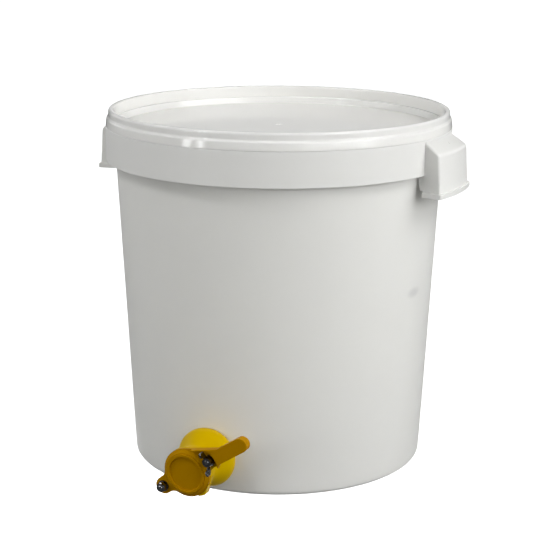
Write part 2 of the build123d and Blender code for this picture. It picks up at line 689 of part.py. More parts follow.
with BuildPart() as pivot_nut_collar:
    with BuildSketch(pivot_plane.offset(nut_front - COLLAR_HEIGHT)):
        Circle(COLLAR_RADIUS)
        Circle(BOLT_RADIUS + COLLAR_PLAY, mode=Mode.SUBTRACT)
    extrude(amount=COLLAR_HEIGHT)

# Clamp washer and wing nut
with BuildPart() as clamp_washer:
    with BuildSketch(clamp_plane.offset(washer_back)):
        Circle(WASHER_RADIUS)
        Circle(BOLT_RADIUS + RUNNING_PLAY, mode=Mode.SUBTRACT)
    extrude(amount=WASHER)

wing_back = washer_back + WASHER + STACK_GAP
wing_face = turned(clamp_plane.offset(wing_back), WING_ANGLE)
wing_plane = Plane(wing_face.origin, wing_face.x_dir, -wing_face.y_dir)
with BuildPart() as wing_nut:
    with BuildSketch(wing_face):
        Circle(WING_NUT_BASE_RADIUS)
    with BuildSketch(wing_face.offset(WING_NUT_HEIGHT)):
        Circle(WING_NUT_TOP_RADIUS)
    loft()
    with BuildSketch(wing_plane) as wing_section:
        with BuildLine():
            Polyline(
                (0, WING_FOOT),
                (WING_NUT_BASE_RADIUS, WING_FOOT),
                (WING_REACH, WING_NUT_HEIGHT),
                (WING_REACH, WING_TOP),
                (WING_REACH - WING_TOP_WIDTH, WING_TOP),
                (WING_NUT_TOP_RADIUS, WING_NUT_HEIGHT),
                (0, WING_NUT_HEIGHT),
                close=True,
            )
        make_face()
        tips = wing_section.vertices().group_by(Axis.X)[-1]
        fillet(tips, WING_ROUND)
        fillet(wing_section.vertices().group_by(Axis.Y)[-1].sort_by(Axis.X)[0], WING_HEEL_ROUND)
        mirror(about=Plane.YZ)
    wings = extrude(amount=WING_THICKNESS / 2, both=True, mode=Mode.PRIVATE)
    wing_sides = wings.faces().filter_by(wing_plane)
    add(wings.fillet(WING_EDGE, wing_sides.edges()))
    with BuildSketch(wing_face):
        Circle(BOLT_RADIUS + RUNNING_PLAY)
    extrude(amount=WING_TOP, mode=Mode.SUBTRACT)

pieces = {
    "tank": tank,
    "lid": lid,
    "valve_body": valve_body,
    "outer_seal": outer_seal,
    "inner_seal": inner_seal,
    "back_nut": back_nut,
    "gate_seal": gate_seal,
    "gate": gate,
    **bolts,
    "pivot_washer": pivot_washer,
    "pivot_nut": pivot_nut,
    "pivot_nut_collar": pivot_nut_collar,
    "clamp_washer": clamp_washer,
    "wing_nut": wing_nut,
}
for name, piece in pieces.items():
    piece.part.label = name
    export_step(piece.part, f"parts/{name}.step")
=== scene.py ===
import json
import logging
from dataclasses import dataclass
from enum import Enum

import bmesh
import bpy
import numpy as np
from mathutils import Matrix, Vector


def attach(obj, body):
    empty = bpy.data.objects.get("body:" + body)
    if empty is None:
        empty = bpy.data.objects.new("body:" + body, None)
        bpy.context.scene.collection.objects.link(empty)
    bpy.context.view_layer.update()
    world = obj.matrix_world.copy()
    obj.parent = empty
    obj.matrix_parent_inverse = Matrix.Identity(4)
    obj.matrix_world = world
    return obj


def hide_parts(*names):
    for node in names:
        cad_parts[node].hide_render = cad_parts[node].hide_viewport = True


# Honey settling tank with a clip-on lid and a yellow swing-gate valve, dressed for a studio picture
# Sizes are millimetres in the part's frame: +Z is up, the origin is the base's middle, the valve faces -Y

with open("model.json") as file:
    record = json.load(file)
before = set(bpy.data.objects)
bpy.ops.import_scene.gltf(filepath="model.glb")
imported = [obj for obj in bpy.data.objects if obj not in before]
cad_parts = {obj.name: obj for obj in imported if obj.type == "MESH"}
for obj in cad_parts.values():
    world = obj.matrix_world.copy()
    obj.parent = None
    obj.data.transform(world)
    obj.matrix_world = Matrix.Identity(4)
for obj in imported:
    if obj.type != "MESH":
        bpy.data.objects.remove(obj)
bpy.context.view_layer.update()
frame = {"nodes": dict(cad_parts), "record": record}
BODIES: dict[str, list[str]] = frame["record"]["behaviour"]["bodies"]

MM = 0.001
WHITE = "#FFFFFF"
# Angle of the valve's side of the tank, in degrees
FRONT = -90.0
# Points nearer than these are merged in a mesh, or are doubles on a line
MERGE = 0.004
DOUBLE = 1e-4
# Margins for comparing sizes: one under any real step in a radius, and one for rounding errors
NEAR = 0.1
TINY = 1e-7
# A number or an array of numbers
Numbers = float | np.ndarray
log = logging.getLogger("honey_tank")


class Slot(Enum):
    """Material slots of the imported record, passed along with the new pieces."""

    TANK = "tank_plastic"
    LID = "lid_plastic"
    VALVE = "valve_plastic"
    STEEL = "fastener_steel"


class Side(Enum):
    """Sides of the tank that carry an ear, as the angle of its middle in degrees."""

    RIGHT = 0
    LEFT = 180


def linear(code: str) -> tuple[float, float, float, float]:
    """Linear colour of an sRGB hex code, by the standard's curve.

    Args:
        code: six hex digits after a hash.

    Returns:
        Red, green, blue and a full alpha.
    """
    srgb = np.array([int(code[n : n + 2], 16) for n in (1, 3, 5)]) / 255
    value = np.where(srgb <= 0.04045, srgb / 12.92, ((srgb + 0.055) / 1.055) ** 2.4)
    return (*value.tolist(), 1.0)


def add_node(
    tree: bpy.types.NodeTree,
    kind: str,
    settings: dict | None = None,
    links: dict | None = None,
) -> bpy.types.Node:
    """Adds a node to a tree.

    Args:
        tree: the tree that takes the node.
        kind: the node's type name.
        settings: values for its properties, or for its input sockets by name or number.
        links: output sockets that feed its input sockets, by name or number.

    Returns:
        The new node.
    """
    node = tree.nodes.new(kind)
    for key, value in (settings or {}).items():
        if isinstance(key, str) and hasattr(node, key):
            setattr(node, key, value)
        else:
            node.inputs[key].default_value = value
    for key, socket in (links or {}).items():
        tree.links.new(socket, node.inputs[key])
    return node


@dataclass(frozen=True)
class Finish:
    """Finish of a surface: a colour that drifts in patches, a gloss that dulls with them, and a fine grain.

    Lengths are millimetres. The patches and the grain are noise of their sizes on Object coordinates. The
    roughness goes from polish to dullness between the noise values of patch_edges.
    """

    name: str
    colour: str
    drift: str
    drift_size: float
    grain_size: float
    grain_depth: float
    polish: float
    dullness: float
    ior: float = 1.5
    metal: float = 0.0
    gloss: float = 0.5
    gloss_tint: str = WHITE
    glow: float = 0.0
    glow_depth: float = 1.0
    drift_detail: float = 4.0
    drift_fall: float = 0.55
    grain_detail: float = 2.0
    patch_edges: tuple[float, float] = (0.3, 0.7)

    def material(self) -> bpy.types.Material:
        """Material of this finish.

        Returns:
            The new material.
        """
        material = bpy.data.materials.new(self.name)
        material.use_nodes = True
        tree = material.node_tree
        shader = tree.nodes["Principled BSDF"]
        even = {
            "Metallic": self.metal,
            "IOR": self.ior,
            "Specular IOR Level": self.gloss,
            "Specular Tint": linear(self.gloss_tint),
            "Subsurface Weight": self.glow,
            "Subsurface Scale": self.glow_depth * MM,
            "Subsurface Radius": (1.0, 1.0, 1.0),
        }
        for socket, value in even.items():
            shader.inputs[socket].default_value = value
        place = add_node(tree, "ShaderNodeTexCoord").outputs["Object"]
        patches = add_node(
            tree,
            "ShaderNodeTexNoise",
            {"Scale": 1 / (self.drift_size * MM), "Detail": self.drift_detail, "Roughness": self.drift_fall},
            {"Vector": place},
        ).outputs[0]
        # A Mix node takes its colours at sockets 6 and 7 and gives their mix at output 2
        tint = add_node(
            tree,
            "ShaderNodeMix",
            {"data_type": "RGBA", 6: linear(self.colour), 7: linear(self.drift)},
            {0: patches},
        ).outputs[2]
        start, end = self.patch_edges
        dulling = add_node(
            tree,
            "ShaderNodeMapRange",
            {"From Min": start, "From Max": end, "To Min": self.polish, "To Max": self.dullness},
            {"Value": patches},
        ).outputs[0]
        grain = add_node(
            tree,
            "ShaderNodeTexNoise",
            {"Scale": 1 / (self.grain_size * MM), "Detail": self.grain_detail},
            {"Vector": place},
        ).outputs[0]
        bump = add_node(
            tree,
            "ShaderNodeBump",
            {"Strength": 1.0, "Distance": self.grain_depth * MM},
            {"Height": grain},
        ).outputs[0]
        for socket, source in {"Base Color": tint, "Roughness": dulling, "Normal": bump}.items():
            tree.links.new(source, shader.inputs[socket])
        return material


@dataclass(frozen=True, kw_only=True)
class RubbedFinish(Finish):
    """Moulded finish with one faint rub mark: an oval of a greyer colour that fades out at its edge.

    The mark is full where the distance from its place, over its half sizes, is under the core, and gone at 1.
    """

    rub: str
    rub_place: tuple[float, float, float]
    rub_reach: tuple[float, float, float]
    rub_core: float = 0.2

    def material(self) -> bpy.types.Material:
        """Material of this finish.

        Returns:
            The new material.
        """
        material = super().material()
        tree = material.node_tree
        colour = tree.nodes["Principled BSDF"].inputs["Base Color"]
        plain = colour.links[0].from_socket
        place = add_node(tree, "ShaderNodeTexCoord").outputs["Object"]
        mark = add_node(
            tree,
            "ShaderNodeMapping",
            {
                "vector_type": "TEXTURE",
                "Location": [size * MM for size in self.rub_place],
                "Scale": [size * MM for size in self.rub_reach],
            },
            {"Vector": place},
        ).outputs[0]
        distance = add_node(tree, "ShaderNodeVectorMath", {"operation": "LENGTH"}, {0: mark}).outputs["Value"]
        share = add_node(
            tree,
            "ShaderNodeMapRange",
            {
                "interpolation_type": "SMOOTHSTEP",
                "From Min": self.rub_core,
                "From Max": 1.0,
                "To Min": 1.0,
                "To Max": 0.0,
            },
            {"Value": distance},
        ).outputs[0]
        rubbed = add_node(
            tree,
            "ShaderNodeMix",
            {"data_type": "RGBA", 7: linear(self.rub)},
            {0: share, 6: plain},
        ).outputs[2]
        tree.links.new(rubbed, colour)
        return material


@dataclass(frozen=True)
class SteelFinish(Finish):
    """Stainless steel: a tarnish that dulls it in patches, over tool marks or the lumps of a casting."""

    metal: float = 1.0
    drift_detail: float = 3.0
    drift_fall: float = 0.5
    grain_detail: float = 1.0


# The grain of the moulds and the marks of the tools are drawn coarser than the real ones, so that they show

# Satin polypropylene of the tank: off-white, faintly cloudy, with its mould's fine grain and a rub mark
TANK_PLASTIC = RubbedFinish(
    name="satin_moulded_polypropylene", colour="#EFEFEC", drift="#EBEBE8", drift_size=55.0,
    grain_size=0.9, grain_depth=0.004, polish=0.34, dullness=0.42, ior=1.49, glow=1.0, glow_depth=2.0,
    rub="#DDDDDB", rub_place=(178.7, -24.0, 214.4), rub_reach=(18.0, 18.0, 8.0),
)

# Glossy polypropylene of the lid: thin and a little see-through, so it glows where light comes from behind
LID_PLASTIC = Finish(
    name="glossy_moulded_polypropylene", colour="#F8F7F2", drift="#F4F3EE", drift_size=40.0,
    grain_size=1.2, grain_depth=0.002, polish=0.07, dullness=0.11, ior=1.49, glow=1.0, glow_depth=2.5,
)

# Yellow nylon of the valve's body: a full warm yellow with the soft gloss of a polished mould
VALVE_PLASTIC = Finish(
    name="satin_moulded_yellow_nylon", colour="#D1AE00", drift="#CAA600", drift_size=14.0,
    grain_size=0.7, grain_depth=0.006, polish=0.28, dullness=0.4, ior=1.53, gloss=0.06,
    gloss_tint="#FFD44A",
)

# Yellow nylon of the gate: the body's yellow made deeper and more orange, painted shade for the gate's shaded
# front faces
GATE_PAINTED_SHADE_PLASTIC = Finish(
    name="satin_yellow_nylon_painted_shade", colour="#B88500", drift="#B07E00", drift_size=14.0,
    grain_size=0.7, grain_depth=0.006, polish=0.3, dullness=0.42, ior=1.53, gloss=0.03,
    gloss_tint="#FFD44A",
)

# Smoke-grey nylon of the lock nut's collar: dark and waxy
COLLAR_NYLON = Finish(
    name="turned_smoke_grey_nylon", colour="#3B3C3E", drift="#333436", drift_size=2.0, grain_size=0.4,
    grain_depth=0.004, polish=0.35, dullness=0.45, ior=1.53,
)

# Black rubber of the seals: matt, with a dry bloom in patches
SEAL_RUBBER = Finish(
    name="moulded_black_rubber", colour="#161616", drift="#232323", drift_size=5.0, grain_size=0.5,
    grain_depth=0.01, polish=0.55, dullness=0.7, ior=1.52,
)

# Bright stainless steel of the fasteners: a sharp reflection broken by fine tool marks
FASTENER_STEEL = SteelFinish(
    name="bright_stainless_steel", colour="#8C8D90", drift="#757679", drift_size=4.0, grain_size=0.35,
    grain_depth=0.004, polish=0.06, dullness=0.14,
)

# Cast stainless steel of the wing nut: a lumpy skin, tumbled bright, that breaks the light into sharp glints
CAST_STEEL = SteelFinish(
    name="cast_stainless_steel", colour="#717275", drift="#5C5D60", drift_size=4.0, grain_size=3.4,
    grain_depth=0.6, polish=0.05, dullness=0.1,
)


def without_doubles(points: np.ndarray) -> np.ndarray:
    """Points of a line without those that lie on the point before."""
    apart = np.linalg.norm(np.diff(points, axis=0), axis=1) > DOUBLE
    return points[np.concatenate([[True], apart])]


def unit(vectors: np.ndarray) -> np.ndarray:
    """Rows of vectors brought to length 1."""
    return vectors / np.maximum(np.linalg.norm(vectors, axis=1, keepdims=True), TINY)


def rounded(table: np.ndarray, steps: int = 5, closed: bool = False) -> np.ndarray:
    """Polyline with rounded corners.

    Where the line turns by an angle a at a corner, an arc of radius r leaves it r * tan(a / 2) before the
    corner and meets it as far after. The arc's points swing from one end's normal to the other's by spherical
    interpolation.

    Args:
        table: corner points and the radius at each, 0 for a sharp one, n by 3.
        steps: points on each arc.
        closed: whether the last corner joins the first.

    Returns:
        The points of the rounded line, without doubles.
    """
    corners = table[:, :2]
    radii = table[:, 2]
    before = unit(corners - np.roll(corners, 1, axis=0))
    after = unit(np.roll(corners, -1, axis=0) - corners)
    if not closed:
        before[0] = after[0]
        after[-1] = before[-1]
    turn = np.arccos(np.clip((before * after).sum(axis=1), -1, 1))
    reach = (radii * np.tan(turn / 2))[:, None]
    middle = corners + unit(after - before) * (radii / np.cos(turn / 2))[:, None]
    first = (corners - before * reach - middle)[:, None]
    last = (corners + after * reach - middle)[:, None]
    share = np.linspace(0, 1, steps)[None, :, None]
    angle = np.maximum(turn, TINY)[:, None, None]
    swing = (first * np.sin((1 - share) * angle) + last * np.sin(share * angle)) / np.sin(angle)
    return without_doubles((middle[:, None] + swing).reshape(-1, 2))


def divided(path: np.ndarray, longest: float) -> np.ndarray:
    """Polyline with each run cut into equal parts.

    Args:
        path: points, n by 2.
        longest: the most that a part may measure.

    Returns:
        The points of the divided line.
    """
    run = np.diff(path, axis=0)
    parts = np.maximum(np.ceil(np.linalg.norm(run, axis=1) / longest), 1).astype(int)
    first = np.repeat(np.cumsum(parts) - parts, parts)
    share = (np.arange(parts.sum()) - first) / np.repeat(parts, parts)
    points = np.repeat(path[:-1], parts, axis=0) + np.repeat(run, parts, axis=0) * share[:, None]
    return np.vstack([points, path[-1:]])


def smooth_curve(knots: np.ndarray, start: np.ndarray, end: np.ndarray, steps: int) -> np.ndarray:
    """Cubic spline through knots with given end directions.

    The parameter is the chord length. The slopes at the knots make the second derivative continuous, and each
    span is the one cubic through its two knots with their slopes.

    Args:
        knots: points, n by 2.
        start: direction at the first knot.
        end: direction at the last knot.
        steps: points on each span.

    Returns:
        The points of the curve.
    """
    run = np.diff(knots, axis=0)
    span = np.linalg.norm(run, axis=1)
    count = len(knots)
    matrix = np.eye(count)
    inner = np.arange(1, count - 1)
    matrix[inner, inner - 1] = span[1:]
    matrix[inner, inner] = 2 * (span[1:] + span[:-1])
    matrix[inner, inner + 1] = span[:-1]
    ratio = (span[:-1] / span[1:])[:, None]
    first, last = unit(np.array([start, end]))
    pull = np.vstack([first, 3 * (run[1:] * ratio + run[:-1] / ratio), last])
    slope = np.linalg.solve(matrix, pull)
    t = np.linspace(0, 1, steps)[None, :, None]
    width = span[:, None, None]
    points = (
        knots[:-1, None] * (2 * t**3 - 3 * t**2 + 1)
        + knots[1:, None] * (3 * t**2 - 2 * t**3)
        + slope[:-1, None] * width * (t**3 - 2 * t**2 + t)
        + slope[1:, None] * width * (t**3 - t**2)
    )
    return without_doubles(points.reshape(-1, 2))


@dataclass(frozen=True)
class Place:
    """Frame that a piece is worked out in: an origin and three axes."""

    origin: np.ndarray
    x: np.ndarray
    y: np.ndarray
    z: np.ndarray

    def at(self, x: Numbers, y: Numbers, z: Numbers) -> np.ndarray:
        """Points of this frame in the part's frame: origin + x X + y Y + z Z."""
        x, y, z = np.broadcast_arrays(x, y, z)
        return self.origin + x[..., None] * self.x + y[..., None] * self.y + z[..., None] * self.z

    def polar(self, radius: Numbers, angle: Numbers, height: Numbers) -> np.ndarray:
        """Points at a radius r, an angle a in radians and a height h about z: (r cos a, r sin a, h)."""
        return self.at(radius * np.cos(angle), radius * np.sin(angle), height)

    def turned(self, angle: float, reach: float = 0.0) -> "Place":
        """This frame turned about its z axis.

        Args:
            angle: the turn in degrees.
            reach: how far the origin moves along the turned x axis.

        Returns:
            The turned frame.
        """
        cosine, sine = np.cos(np.radians(angle)), np.sin(np.radians(angle))
        x = self.x * cosine + self.y * sine
        y = self.y * cosine - self.x * sine
        return Place(self.origin + x * reach, x, y, self.z)


LEVEL = Place(np.zeros(3), *np.eye(3))


def upright(angle: float) -> Place:
    """Frame through the tank's axis at an angle in degrees: x along the radius, y up, z across."""
    level = LEVEL.turned(angle)
    return Place(level.origin, level.x, level.z, -level.y)


class Skin:
    """Grids and caps gathered into one closed mesh."""

    def __init__(self) -> None:
        """Starts with nothing."""
        self.points: list[np.ndarray] = []
        self.quads: list[np.ndarray] = []
        self.caps: list[list[int]] = []
        self.count = 0

    def grid(self, points: np.ndarray, closed: bool = False, keep: np.ndarray | None = None) -> None:
        """Adds a grid of points as quads.

        Args:
            points: rows by columns by 3.
            closed: whether the last column joins the first.
            keep: which quads stay, rows by columns, or all.
        """
        rows, columns = points.shape[:2]
        here = np.arange(rows * columns).reshape(rows, columns) + self.count
        beside = np.roll(here, -1, axis=1)
        quads = np.stack([here[:-1], beside[:-1], beside[1:], here[1:]], axis=-1)
        if not closed:
            quads = quads[:, :-1]
        self.quads.append(quads.reshape(-1, 4) if keep is None else quads[keep])
        self.points.append(points.reshape(-1, 3))
        self.count += rows * columns

    def cap(self, loop: np.ndarray) -> None:
        """Adds one flat face.

        Args:
            loop: points of its border, n by 3.
        """
        self.caps.append((np.arange(len(loop)) + self.count).tolist())
        self.points.append(loop)
        self.count += len(loop)

    def tube(self, rings: np.ndarray) -> None:
        """Adds rings as a surface closed all round, with a flat face at each end.

        Args:
            rings: rings by points by 3.
        """
        self.grid(rings, closed=True)
        self.cap(rings[0])
        self.cap(rings[-1])

    def make(self, name: str, crease: float = 38.0) -> bpy.types.Object:
        """Object of the gathered faces: doubles merged, faces turned outwards, creases sharp.

        Args:
            name: the object's name.
            crease: angle between faces in degrees from which an edge stays sharp.

        Returns:
            The new object at the origin.
        """
        mesh = bpy.data.meshes.new(name)
        faces = np.vstack(self.quads).tolist() + self.caps
        mesh.from_pydata((np.vstack(self.points) * MM).tolist(), [], faces)
        shell = bmesh.new()
        shell.from_mesh(mesh)
        bmesh.ops.remove_doubles(shell, verts=shell.verts, dist=MERGE * MM)
        bmesh.ops.dissolve_degenerate(shell, edges=shell.edges, dist=MERGE * MM)
        bmesh.ops.recalc_face_normals(shell, faces=shell.faces)
        shell.to_mesh(mesh)
        shell.free()
        mesh.shade_smooth()
        mesh.set_sharp_from_angle(angle=np.radians(crease))
        piece = bpy.data.objects.new(name, mesh)
        bpy.context.scene.collection.objects.link(piece)
        return piece


def edge_rings(
    outline: np.ndarray,
    back: float,
    front: float,
    edge: float,
    steps: int = 4,
) -> tuple[np.ndarray, np.ndarray, np.ndarray]:
    """Rings of a plate's rounded side.

    Ring a, from 0 to a right angle, is the outline moved in by e (1 - sin a), at a depth of e (1 - cos a)
    under the face.

    Args:
        outline: closed outline, counter-clockwise, n by 2.
        back: height of the back face.
        front: height of the front face.
        edge: radius e of both edges.
        steps: rings on each edge.

    Returns:
        x, y and height of the rings, from the back face to the front face.
    """
    along = unit(np.roll(outline, -1, axis=0) - np.roll(outline, 1, axis=0))
    outward = np.stack([along[:, 1], -along[:, 0]], axis=1)
    angle = np.linspace(0, np.pi / 2, steps)
    inset = edge * (1 - np.sin(angle))
    depth = edge * (1 - np.cos(angle))
    inset = np.concatenate([inset, inset[::-1]])[:, None, None]
    height = np.concatenate([back + depth, (front - depth)[::-1]])[:, None]
    ring = outline[None] - outward[None] * inset
    return ring[..., 0], ring[..., 1], height


def slab(skin: Skin, place: Place, outline: np.ndarray, back: float, front: float, edge: float) -> None:
    """Adds a plate of an outline with rounded edges and flat faces.

    Args:
        skin: what the plate is added to.
        place: its frame.
        outline: closed outline, counter-clockwise, n by 2.
        back: height of the back face.
        front: height of the front face.
        edge: radius of its edges.
    """
    skin.tube(place.at(*edge_rings(outline, back, front, edge)))


def hexagon(flats: float, corner: float) -> np.ndarray:
    """Outline of a hexagon with rounded corners.

    Args:
        flats: size across its flats.
        corner: radius of its corners.

    Returns:
        The outline, counter-clockwise.
    """
    angle = np.radians(np.arange(30, 390, 60))
    reach = flats / 2 / np.cos(angle[0])
    table = np.stack([reach * np.cos(angle), reach * np.sin(angle), np.full_like(angle, corner)], axis=1)
    return rounded(table, closed=True)


def window_loop(across: np.ndarray, along: np.ndarray) -> np.ndarray:
    """Border of a rectangular window in a grid, once round.

    Args:
        across: first parameter of the window's columns.
        along: second parameter of the window's rows.

    Returns:
        Both parameters of the border points.
    """
    row = np.ones(len(across) - 1)
    column = np.ones(len(along) - 1)
    first = np.concatenate([across[:-1], across[-1] * column, across[:0:-1], across[0] * column])
    second = np.concatenate([along[0] * row, along[:-1], along[-1] * row, along[:0:-1]])
    return np.stack([first, second], axis=1)


def hole_patch(border: np.ndarray, rim: np.ndarray, rings: int) -> np.ndarray:
    """Rings that lead in equal steps from a window's border to the rim of a hole, ring by ring."""
    share = np.linspace(0, 1, rings)[:, None, None]
    return rim * share + border * (1 - share)


def dress(piece: bpy.types.Object, material: bpy.types.Material, slot: Slot, *nodes: str) -> None:
    """Gives a new piece its material, the body that it moves with and the CAD nodes that it stands for.

    Args:
        piece: the new piece.
        material: its material.
        slot: the record's slot for it; not used.
        nodes: the CAD nodes, all on one body.
    """
    piece.data.materials.append(material)
    even = piece.modifiers.new("even_normals", "WEIGHTED_NORMAL")
    even.keep_sharp = True
    body = next(name for name, members in BODIES.items() if nodes[0] in members)
    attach(piece, body)
    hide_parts(*nodes)
    log.info("%s rides on %s, %d faces", piece.name, body, len(piece.data.polygons))


def dress_node(node: str, material: bpy.types.Material) -> None:
    """Gives a CAD node that stays its material.

    Args:
        node: the node's name.
        material: its material.
    """
    for slot in frame["nodes"][node].material_slots:
        slot.material = material
    log.info("%s keeps its CAD shape", node)


@dataclass
class Tank:
    """Tank moulding: tapered wall, base, hollow skirt ring with ribs, rim, and two hollow carrying ears."""

    foot_radius: float = 169.5
    draft: float = 2.88
    wall: float = 2.4
    foot_recess: float = 2.0
    foot_ring: float = 150.0
    floor: float = 4.6
    corner_outside: float = 5.0
    corner_inside: float = 4.0
    corner_fine: float = 1.0
    ring_radius: float = 198.0
    ring_top: float = 388.5
    ring_bottom: float = 349.8
    ring_wall: float = 2.4
    ring_edge: float = 0.8
    rib_count: int = 24
    rib: float = 1.8
    rib_bottom: float = 353.0
    rib_edge: float = 0.5
    rim_inside: float = 191.1
    rim_outside: float = 192.9
    rim_top: float = 405.4
    bead_radius: float = 194.4
    bead_middle: float = 395.8
    bead_half: float = 2.4
    ear_angle: float = 12.0
    ear_top_radius: float = 216.0
    ear_bottom_radius: float = 219.0
    ear_roof_root: float = 386.5
    ear_roof_edge: float = 374.0
    ear_bottom: float = 326.5
    ear_wall: float = 2.4
    ear_lip: float = 2.0
    ear_lip_height: float = 5.5
    ear_anchor: float = 196.5
    ear_round: float = 6.0
    ear_side_round: float = 2.6
    ear_side_steps: int = 5
    ear_columns: int = 25
    ear_crease: float = 25.0
    ear_edge: float = 0.7
    ear_edge_angle: float = 30.0
    ear_edge_steps: int = 3
    pocket_round: float = 1.5
    web: float = 1.5
    web_sink: float = 0.9
    web_foot: tuple[float, float] = (192.4, 333.0)
    web_bend: tuple[float, float] = (190.3, 343.0)
    web_reach: float = 198.6
    dimple: float = 1.25
    dimple_depth: float = 0.9
    dimple_place: float = 206.0
    dimple_window: float = 3.0
    dimple_rings: int = 3
    hole_radius: float = 24.3
    hole_height: float = 42.5
    hole_window: float = 30.5
    hole_rings: int = 5
    hole_columns: int = 18
    row_height: float = 8.0
    column_step: float = 1.25

    def wall_radius(self, height: Numbers) -> Numbers:
        """Radius of the outside of the wall at a height."""
        return self.foot_radius + height * np.tan(np.radians(self.draft))

    @property
    def hole_rows(self) -> tuple[float, float]:
        """Lowest and highest height of the window in the wall that holds the valve's hole."""
        return self.hole_height - self.hole_window, self.hole_height + self.hole_window

    @property
    def pocket_angle(self) -> float:
        """Half the angle of an ear's pocket, in degrees."""
        return self.ear_angle - np.degrees(self.ear_wall / self.ear_top_radius)

    @property
    def roof_slope(self) -> float:
        """Drop of an ear's roof for each millimetre outwards."""
        return (self.ear_roof_root - self.ear_roof_edge) / (self.ear_top_radius - self.ring_radius)

    @property
    def pocket_top(self) -> float:
        """Height of an ear's pocket where it meets the ring."""
        return self.ear_roof_root - self.ear_wall * np.hypot(1, self.roof_slope)

    def section(self) -> np.ndarray:
        """Section of the wall, base, ring and rim.

        Returns:
            Radius and height from the axis outside round to the axis inside.
        """
        fine = self.corner_fine
        edge = self.ring_edge
        web = self.ring_top - self.ring_wall
        skirt = self.ring_radius - self.ring_wall
        low, high = self.hole_rows
        table = np.array([
            (0, self.foot_recess, 0),
            (self.foot_ring, self.foot_recess, fine),
            (self.foot_ring, 0, edge),
            (self.foot_radius, 0, self.corner_outside),
            (self.wall_radius(low), low, 0),
            (self.wall_radius(high), high, 0),
            (self.wall_radius(web), web, fine),
            (skirt, web, fine),
            (skirt, self.ring_bottom, edge),
            (self.ring_radius, self.ring_bottom, edge),
            (self.ring_radius, self.ring_top, edge),
            (self.rim_outside, self.ring_top, fine),
            (self.rim_outside, self.bead_middle - self.bead_half, fine),
            (self.bead_radius, self.bead_middle, fine),
            (self.rim_outside, self.bead_middle + self.bead_half, fine),
            (self.rim_outside, self.rim_top, edge),
            (self.rim_inside, self.rim_top, edge),
            (self.rim_inside, self.ring_top, fine),
            (self.wall_radius(web) - self.wall, web, fine),
            (self.wall_radius(high) - self.wall, high, 0),
            (self.wall_radius(low) - self.wall, low, 0),
            (self.wall_radius(self.floor) - self.wall, self.floor, self.corner_inside),
            (0, self.floor, 0),
        ])
        return divided(rounded(table), self.row_height)

    def shell(self) -> Skin:
        """Section turned about the tank's axis, with the skirt cut away at the ears and a hole for the valve.

        Behind an ear the skirt's rows are lifted to the pocket's top, between two columns at each end of the
        pocket. Round the hole, the wall's quads give way to a patch.

        Returns:
            The shell's surface.
        """
        skin = Skin()
        path = self.section()
        start = FRONT - self.hole_columns * self.column_step / 2
        middles = np.array([side.value for side in Side])
        ends = np.concatenate([middles - self.pocket_angle, middles + self.pocket_angle])
        angles = np.arange(start, start + 360, self.column_step)
        angles = np.sort(np.concatenate([angles, ends - TINY, ends + TINY]))
        # Degrees from the middle of the nearest ear
        from_ear = np.abs((angles + 90) % 180 - 90)
        radius = np.broadcast_to(path[:, :1], (len(path), len(angles)))
        height = np.broadcast_to(path[:, 1:], radius.shape)
        skirt = radius > self.ring_radius - self.ring_wall - NEAR
        lifted = skirt & (from_ear < self.pocket_angle)
        height = np.where(lifted, np.maximum(height, self.pocket_top), height)

        low, high = self.hole_rows
        in_window = (path[:, 1] > low - TINY) & (path[:, 1] < high + TINY) & (path[:, 0] > self.foot_ring)
        in_row = in_window[:-1] & in_window[1:]
        keep = np.ones((len(path) - 1, len(angles)), bool)
        keep[in_row, : self.hole_columns] = False
        skin.grid(LEVEL.polar(radius, np.radians(angles), height), closed=True, keep=keep)
        outside = np.arange(len(path)) <= np.argmax(path[:, 1])
        rows = np.sort(path[in_window & outside, 1])
        self.add_hole(skin, window_loop(angles[: self.hole_columns + 1] - FRONT, rows - self.hole_height))
        return skin

    def add_hole(self, skin: Skin, border: np.ndarray) -> None:
        """Adds the wall between a window and the valve's hole, outside and inside, and the edge of the hole.

        The hole is a circle of radius r square to the leaning wall: the point at an angle a lies r cos a
        across and r sin a times the cosine of the draft up.

        Args:
            skin: what the wall is added to.
            border: degrees from the front and height from the hole's middle, once round the window.
        """
        middle = self.wall_radius(self.hole_height)
        around = np.arctan2(border[:, 1], np.radians(border[:, 0]) * middle)
        rim = np.stack([
            np.degrees(np.arcsin(self.hole_radius * np.cos(around) / middle)),
            self.hole_radius * np.sin(around) * np.cos(np.radians(self.draft)),
        ], axis=1)
        patch = hole_patch(border, rim, self.hole_rings)
        turn = np.radians(patch[..., 0] + FRONT)
        height = patch[..., 1] + self.hole_height
        radius = self.wall_radius(height)
        outer = LEVEL.polar(radius, turn, height)
        inner = LEVEL.polar(radius - self.wall, turn, height)
        for surface in (outer, inner, np.stack([outer[-1], inner[-1]])):
            skin.grid(surface, closed=True)

    def ribs(self) -> Skin:
        """Ribs between the wall and the skirt: upright plates with rounded edges, none behind the ears.

        Returns:
            The surface of all ribs.
        """
        skin = Skin()
        # The ribs are sunk into the wall, the skirt and the ring's top
        root = self.wall_radius(self.rib_bottom) - self.wall / 4
        reach = self.ring_radius - self.ring_wall / 2
        top = self.ring_top - self.ring_wall / 2
        outline = np.array([(root, self.rib_bottom), (reach, self.rib_bottom), (reach, top), (root, top)])
        angles = np.arange(self.rib_count) * 360 / self.rib_count
        clear = np.abs(np.sin(np.radians(angles))) > np.sin(np.radians(self.ear_angle))
        for angle in angles[clear]:
            slab(skin, upright(angle), outline, -self.rib / 2, self.rib / 2, self.rib_edge)
        return skin

